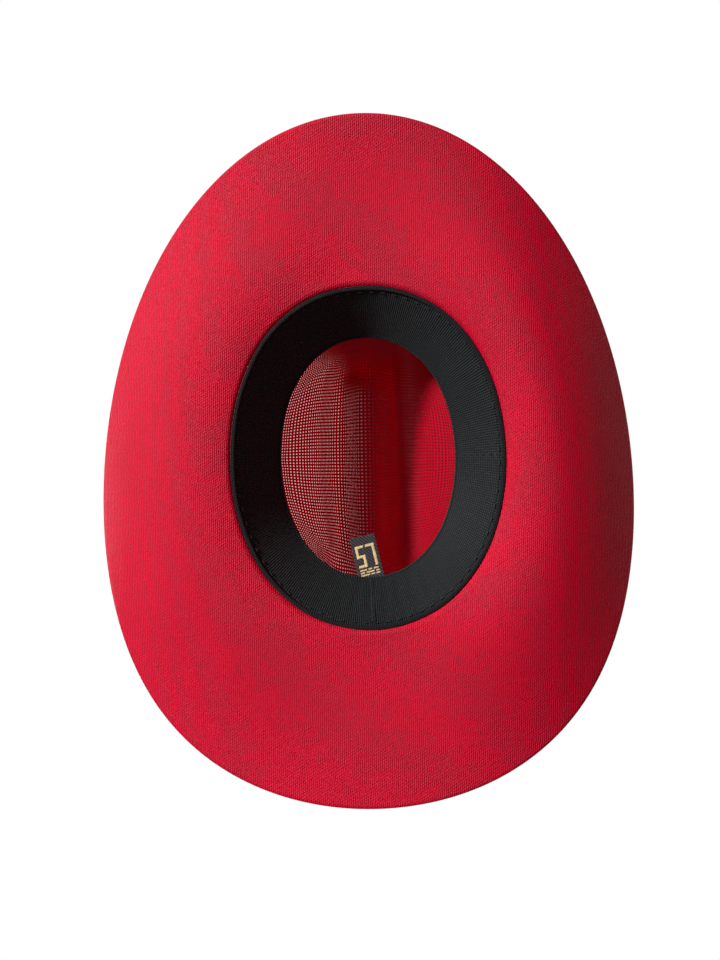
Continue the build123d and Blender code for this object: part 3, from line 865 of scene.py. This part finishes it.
class Shader(Nodes):
    """The nodes of a new material."""

    def __init__(self, name):
        self.material = bpy.data.materials.new(name)
        self.material.use_nodes = True
        super().__init__(self.material.node_tree)
        self.surface = self.nodes["Principled BSDF"]
        self.output = self.nodes["Material Output"]

    def place(self, source, scale=(1, 1, 1)):
        """Coordinates of the cloth, and their x, y and z: its map, or object metres scaled."""
        coordinates = self.nodes.new("ShaderNodeTexCoord").outputs[source]
        scaled = self.nodes.new("ShaderNodeMapping")
        self.put(scaled.inputs["Vector"], coordinates)
        scaled.inputs["Scale"].default_value = scale
        return scaled.outputs[0], self.split(scaled.outputs[0])

    def bump(self, height, distance, strength=1.0):
        node = self.nodes.new("ShaderNodeBump")
        self.put(node.inputs["Height"], height)
        node.inputs["Distance"].default_value = distance
        node.inputs["Strength"].default_value = strength
        self.put(self.surface.inputs["Normal"], node.outputs[0])

    def blend(self, share, first, second):
        """Surface that is the second shader by the share and the first by the rest."""
        both = self.nodes.new("ShaderNodeMixShader")
        for socket, value in zip(both.inputs, (share, first, second)):
            self.put(socket, value)
        self.put(self.output.inputs["Surface"], both.outputs[0])

    def finish(self, colour, roughness, **fixed):
        self.put(self.surface.inputs["Base Color"], colour)
        self.put(self.surface.inputs["Roughness"], roughness)
        for name, value in fixed.items():
            self.surface.inputs[name.replace("_", " ")].default_value = value
        return self.material


IN_MM = (1000, 1000, 1000)


def knit_red(name, dark, light):
    """Moulded red cloth: fine columns of stitches that lean a little, with a fuzzy surface."""
    m = Shader(name)
    where, (x, y, _) = m.place("Object", IN_MM)
    drawn, _ = m.place("Object", (1000, 480, 1000))
    drift = m.noise(where, 0.16, 3)
    u = m.math("MULTIPLY_ADD", drift, 1.6, x)
    v = m.math("MULTIPLY_ADD", drift, 1.2, y)
    columns = m.wave(u, 1.15)
    steps = m.wave(m.math("MULTIPLY_ADD", u, 0.62, v), 1.7)
    fibre = m.noise(drawn, 1.5, 4, 0.7)
    weave = m.math("MULTIPLY", columns, m.math("MULTIPLY_ADD", steps, 0.6, 0.4))
    weave = m.math("MULTIPLY_ADD", weave, 0.65, m.math("MULTIPLY", fibre, 1.1))
    cloud = m.noise(where, 0.018, 2)
    tone = m.ramp(weave, ((0.46, dark), (0.96, light)))
    tone = m.mix(m.math("MULTIPLY", cloud, 0.3), tone, dark)
    m.bump(weave, 0.00036, 1.0)
    rough = m.math("MULTIPLY_ADD", fibre, 0.14, 0.42)
    return m.finish(tone, rough, Specular_IOR_Level=0.22)


THROUGH_SHARE = 0.45


def mesh_red():
    """Crown cloth: red threads, thin enough to glow where light comes through."""
    m = Shader("crown_mesh_red")
    where, (x, y, _) = m.place("Object", IN_MM)
    fibre = m.noise(where, 2.2, 3, 0.6)
    cloud = m.noise(where, 0.03, 2)
    tone = m.ramp(fibre, ((0.25, (0.50, 0.001, 0.014)), (0.8, (0.92, 0.006, 0.045))))
    tone = m.mix(m.math("MULTIPLY", cloud, 0.3), tone, (0.45, 0.0, 0.012))
    m.bump(fibre, 0.0002, 0.6)
    rough = m.math("MULTIPLY_ADD", fibre, 0.25, 0.4)
    m.finish(tone, rough, Specular_IOR_Level=0.15)
    through = m.nodes.new("ShaderNodeBsdfTranslucent")
    m.put(through.inputs["Color"], tone)
    m.blend(THROUGH_SHARE, m.surface.outputs[0], through.outputs[0])
    return m.material


def ribbed_black(name, rib_pitch, row_pitch, dark, light):
    """Black elastic or woven cloth with ribs across and finer rows along."""
    m = Shader(name)
    _, (u, v, _) = m.place("UV")
    ribs = m.wave(u, rib_pitch)
    rows = m.wave(v, row_pitch)
    world, _ = m.place("Object", IN_MM)
    fibre = m.noise(world, 1.6, 3, 0.6)
    cloud = m.noise(world, 0.05, 2)
    weave = m.math("MULTIPLY", ribs, m.math("MULTIPLY_ADD", rows, 0.65, 0.35))
    weave = m.math("MULTIPLY_ADD", fibre, 0.5, weave)
    tone = m.ramp(weave, ((0.40, dark), (1.1, light)))
    tone = m.mix(m.math("MULTIPLY", cloud, 0.4), tone, dark)
    m.bump(weave, 0.0013, 1.0)
    rough = m.math("MULTIPLY_ADD", fibre, 0.3, 0.5)
    return m.finish(tone, rough, Sheen_Weight=0.08, Sheen_Roughness=0.5, Specular_IOR_Level=0.2)


def twill_black():
    m = Shader("label_twill_black")
    _, (u, v, _) = m.place("UV")
    diagonal = m.math("MULTIPLY_ADD", v, LABEL_TWILL[1] / LABEL_TWILL[0], u)
    ribs = m.wave(diagonal, LABEL_TWILL_PITCH / LABEL_TWILL[0])
    fine = m.wave(m.math("MULTIPLY_ADD", u, -0.5, v), 0.5)
    weave = m.math("MULTIPLY", ribs, m.math("MULTIPLY_ADD", fine, 0.4, 0.6))
    tone = m.ramp(weave, ((0.35, (0.003, 0.004, 0.005)), (0.95, (0.10, 0.12, 0.125))))
    m.bump(weave, 0.0004, 1.0)
    rough = m.math("MULTIPLY_ADD", weave, -0.2, 0.55)
    return m.finish(tone, rough, Sheen_Weight=0.1, Specular_IOR_Level=0.45)


def thread(name, dark, light, metallic=0.0):
    m = Shader(name)
    where, _ = m.place("Object", IN_MM)
    fibre = m.noise(where, 3.0, 4, 0.7)
    tone = m.ramp(fibre, ((0.25, dark), (0.8, light)))
    m.bump(fibre, 0.00015, 0.8)
    rough = m.math("MULTIPLY_ADD", fibre, 0.3, 0.3)
    return m.finish(tone, rough, Metallic=metallic, Sheen_Weight=0.2)


def grosgrain_red():
    """Dark red ribbon with fine upright ribs."""
    m = Shader("ribbon_grosgrain_red")
    _, (u, v, _) = m.place("UV")
    world, _ = m.place("Object", IN_MM)
    ribs = m.wave(u, 0.95)
    fibre = m.noise(world, 1.8, 3, 0.6)
    cloud = m.noise(world, 0.05, 2)
    weave = m.math("MULTIPLY_ADD", fibre, 0.35, ribs)
    tone = m.ramp(weave, ((0.2, (0.10, 0.001, 0.006)), (0.95, (0.30, 0.004, 0.018))))
    tone = m.mix(m.math("MULTIPLY", cloud, 0.4), tone, (0.08, 0.0, 0.004))
    m.bump(weave, 0.0003, 0.8)
    rough = m.math("MULTIPLY_ADD", fibre, 0.25, 0.3)
    return m.finish(tone, rough, Sheen_Weight=0.2, Sheen_Roughness=0.35, Specular_IOR_Level=0.5)


def dress(piece, material):
    piece.data.materials.clear()
    piece.data.materials.append(material)


# ---- Stage pieces, and the painted light and shade seen through the open weave --------------
# Painted light and shade seen through the weave, and where each fades in, in millimetres.
POCKET_SHADE_X, POCKET_SHADE_Y = (-26.5, -9.7), (-40.0, -56.0)
SHADE_X = (-31.0, 4.2)
BROW_SHADE_Y = (-62.0, -78.0)
PAINTED_LIT_TONE = (0.92, 0.44, 0.45)
PAINTED_SHADE_TONE = (0.07, 0.008, 0.018)
PAINTED_POCKET_SHADE = (0.02, 0.001, 0.004)


def stage_only(thing, m, surface):
    """Lets a thing light and shade nothing, and show its surface on its front only."""
    behind = m.nodes.new("ShaderNodeNewGeometry").outputs["Backfacing"]
    m.blend(behind, surface, m.nodes.new("ShaderNodeBsdfTransparent").outputs[0])
    dress(thing, m.material)
    for ray in ("diffuse", "glossy", "transmission", "shadow"):
        setattr(thing, f"visible_{ray}", False)


def painted_light_shade_film(points, faces):
    """Painted light and shade that the open weave is seen against from inside the crown: a film
    that glows with a painted lit tone towards -X and painted shade towards +X, deepest in the
    pocket at the front and under the brow. It stands for the surface that the hat lies on, lit and
    in the hat's own shade, and for shade on the crown's inside that the lamps don't give. It lies
    in the thickness of the cloth, and is clear from outside."""
    m = Shader("painted_light_shade_film")
    _, (x, y, _) = m.place("Object", IN_MM)
    pocket_shade = m.math("MULTIPLY", m.step(y, *POCKET_SHADE_Y), m.step(x, *POCKET_SHADE_X))
    tone = m.mix(m.step(x, *SHADE_X), PAINTED_LIT_TONE, PAINTED_SHADE_TONE)
    tone = m.mix(pocket_shade, tone, PAINTED_POCKET_SHADE)
    tone = m.mix(m.step(y, *BROW_SHADE_Y), tone, PAINTED_SHADE_TONE)
    glow = m.nodes.new("ShaderNodeEmission")
    m.put(glow.inputs["Color"], tone)
    stage_only(add_mesh("painted_light_shade_film", points, faces), m, glow.outputs[0])


# ---- The hat --------------------------------------------------------------------------------


def stand_for(piece, material, body, slot, *nodes):
    """Gives a piece its material and body, and puts it in place of its CAD nodes; slot is not used.
    """
    dress(piece, material)
    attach(piece, body)
    if nodes:
        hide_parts(*nodes)
    return piece


brim_red = knit_red("brim_knit_red", (0.30, 0.001, 0.012), (0.90, 0.004, 0.046))
core_grey = thread("stiffener_fleece", (0.20, 0.01, 0.015), (0.35, 0.03, 0.04))
crown_red = mesh_red()
elastic_tones = (0.004, 0.010, 0.010), (0.026, 0.040, 0.038)
band_black = ribbed_black("band_elastic_black", 1.5, 1.5, *elastic_tones)
hem_tones = (0.003, 0.004, 0.004), (0.034, 0.039, 0.038)
hem_black = ribbed_black("band_hem_black", 0.9, 1.2, *hem_tones)
label_black = twill_black()
gold = thread("gold_thread", (0.60, 0.42, 0.15), (1.0, 0.86, 0.46))
black_thread = thread("black_thread", (0.004, 0.004, 0.004), (0.03, 0.03, 0.03))
red_thread = thread("red_thread", (0.25, 0.002, 0.01), (0.6, 0.02, 0.05))
ribbon_red = grosgrain_red()

brim_plies = (
    ("brim_under_cloth", 0.0, PLY, brim_red, "brim_cloth", "brim_under_ply"),
    ("brim_stiffener", PLY + 0.05, CORE, core_grey, "stiffener", "brim_core"),
    ("brim_top_cloth", PLY + CORE + 0.10, PLY, brim_red, "brim_cloth", "brim_top_ply"),
)
for name, lift_by, thickness, material, slot, node in brim_plies:
    stand_for(brim_layer(name, lift_by, thickness), material, "hat", slot, node)

for piece in crown_pieces():
    stand_for(piece, crown_red, "hat", "crown_cloth", "crown")

sweatband = stand_for(sweatband_piece(), band_black, "hat", "band_elastic", "sweatband")
stand_for(outer_hem_piece(), hem_black, "hat", "band_hem", "sweatband_outer_hem")
stand_for(inner_hem_piece(), band_black, "hat", "band_hem", "sweatband_inner_hem")
stand_for(back_seam_piece(), band_black, "hat", "band_hem", "sweatband_back_seam")

label = stand_for(label_piece(), label_black, "label", "label_cloth", "size_label")
stand_for(lettering_piece(), gold, "label", "gold_thread", "size_label_lettering")

ribbon = stand_for(ribbon_piece(), ribbon_red, "hat", "ribbon", "hatband")
for name, half_span, set_off, folds, node in BOW_TIERS:
    tier = stand_for(bow_tier(name, half_span, set_off, folds), ribbon_red, "hat", "ribbon", node)
stand_for(knot_piece(), ribbon_red, "hat", "ribbon", "bow_knot")

for node in ("sweatband_stitching", "crown_joint_stitching"):
    dress(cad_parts[node], black_thread)

tail_points = ((55.0, 23.0, 41.2), (54.0, 22.0, 40.6), (53.2, 19.5, 40.9), (54.1, 17.5, 41.0))
tail = thread_tail("loose_thread_end", tail_points)
dress(tail, red_thread)
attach(tail, "hat")

# ---- Stage, light and camera ----------------------------------------------------------------
FLOOR_HALF = 12.0
FLOOR_LEVEL = -0.0004
WHITE = (1.0, 1.0, 1.0)
LIGHT_ABOVE = (0.62, 0.62, 0.62)
LIGHT_BELOW = (0.18, 0.12, 0.13)
LIGHT_BOUNCED = (0.24, 0.025, 0.040)
BOUNCE_X = (0.35, 0.90)
HORIZON_Z = (0.20, 0.50)
VIEW_DISTANCE = 0.600
IMAGE_LENGTH = 0.5635
FILM_WIDTH = 36.0
CAMERA_ROLL = math.radians(0.9)
CAMERA_SHIFT = (-0.0083, -0.0234)


def stage_floor():
    """Pale floor, clear from below, so that the hat can be looked at from there too."""
    mesh = bpy.data.meshes.new("floor")
    near, far = -FLOOR_HALF, FLOOR_HALF
    corners = [(near, near, 0), (far, near, 0), (far, far, 0), (near, far, 0)]
    mesh.from_pydata(corners, [], [(0, 1, 2, 3)])
    floor = bpy.data.objects.new("floor", mesh)
    bpy.context.collection.objects.link(floor)
    floor.location.z = FLOOR_LEVEL
    m = Shader("pale_floor")
    m.finish((0.82, 0.82, 0.82, 1), 0.8)
    stage_only(floor, m, m.surface.outputs[0])


def area_light(name, place, target, size, watts, colour):
    data = bpy.data.lights.new(name, "AREA")
    data.shape = "DISK"
    data.size = size
    data.energy = watts
    data.color = colour
    light = bpy.data.objects.new(name, data)
    light.location = place
    light.rotation_euler = (Vector(target) - Vector(place)).to_track_quat("-Z", "Y").to_euler()
    light.visible_camera = False
    bpy.context.collection.objects.link(light)


def studio_world():
    """White backdrop that gives soft light from above and less from below, redder on the right."""
    world = bpy.data.worlds.new("studio")
    bpy.context.scene.world = world
    world.use_nodes = True
    m = Nodes(world.node_tree)
    x, _, z = m.split(m.nodes.new("ShaderNodeTexCoord").outputs["Generated"])
    below = m.mix(m.step(x, *BOUNCE_X), LIGHT_BELOW, LIGHT_BOUNCED)
    given = m.mix(m.step(z, *HORIZON_Z), below, LIGHT_ABOVE)
    camera_ray = m.nodes.new("ShaderNodeLightPath").outputs["Is Camera Ray"]
    m.put(m.nodes["Background"].inputs["Color"], m.mix(camera_ray, given, WHITE))


stage_floor()
studio_world()
head = (0, HEAD_Y * MM, HEAD_Z * MM)
area_light("key", (-2.13, -1.40, -1.92), head, 0.47, 124, (1.0, 0.96, 1.0))
area_light("top", (-0.85, 0.25, 1.05), head, 0.9, 12, WHITE)

camera_data = bpy.data.cameras.new("camera")
camera_data.sensor_width = FILM_WIDTH
camera_data.lens = FILM_WIDTH * VIEW_DISTANCE / IMAGE_LENGTH
camera_data.shift_x, camera_data.shift_y = CAMERA_SHIFT
camera_data.clip_start = 0.01
camera = bpy.data.objects.new("camera", camera_data)
camera.location = (0, HEAD_Y * MM, HEAD_Z * MM - VIEW_DISTANCE)
camera.rotation_euler = (math.pi, 0, CAMERA_ROLL)
bpy.context.collection.objects.link(camera)
bpy.context.scene.camera = camera
bpy.context.scene.view_settings.view_transform = "Standard"
